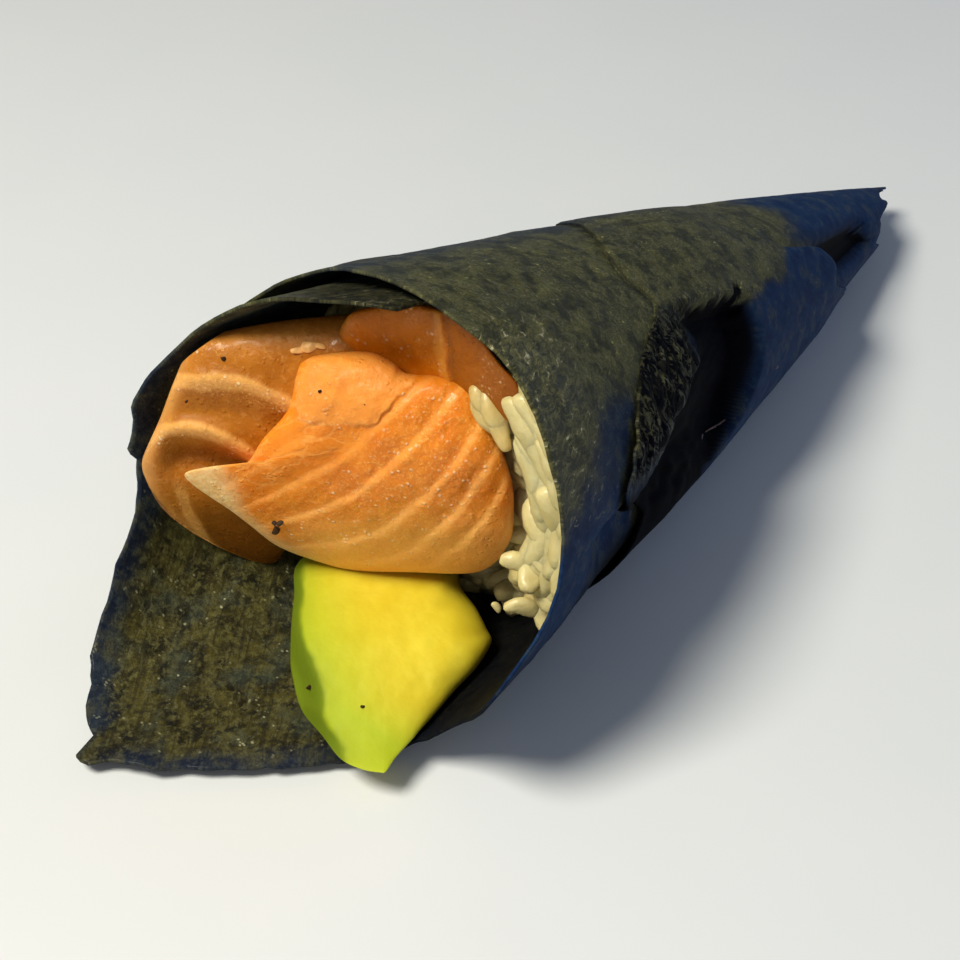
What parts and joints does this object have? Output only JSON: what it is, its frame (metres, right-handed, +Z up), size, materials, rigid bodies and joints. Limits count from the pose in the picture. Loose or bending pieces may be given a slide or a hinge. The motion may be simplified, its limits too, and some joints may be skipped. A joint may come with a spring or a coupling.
{
  "type": "salmon temaki hand roll",
  "caption": "Cone of rolled nori lying on its side, packed with sushi rice, slices of salmon and a wedge of avocado, one corner of the sheet open in front.",
  "frame": {"origin": "on the table under the middle of the roll's box", "axes": "+X from the open mouth to the pointed tail, +Y to the left seen from the mouth, +Z up"},
  "size_m": [0.1428, 0.0502, 0.0491],
  "materials": {
    "nori": "dark green-black pressed seaweed, satin, faintly fibrous",
    "rice": "cooked short-grain rice, moist, cream white",
    "salmon_bright": "wet raw salmon, bright orange with pale fat lines",
    "salmon_pale": "wet raw salmon, tan orange with pale fat bands",
    "salmon_amber": "wet raw salmon, deep amber",
    "avocado": "ripe avocado flesh, yellow turning green at the skin side"
  },
  "bodies": {
    "root": {"nori": "nori", "rice": "rice", "salmon_front": "salmon_bright", "salmon_left": "salmon_pale", "salmon_back": "salmon_amber", "avocado": "avocado"}
  },
  "joints": []
}
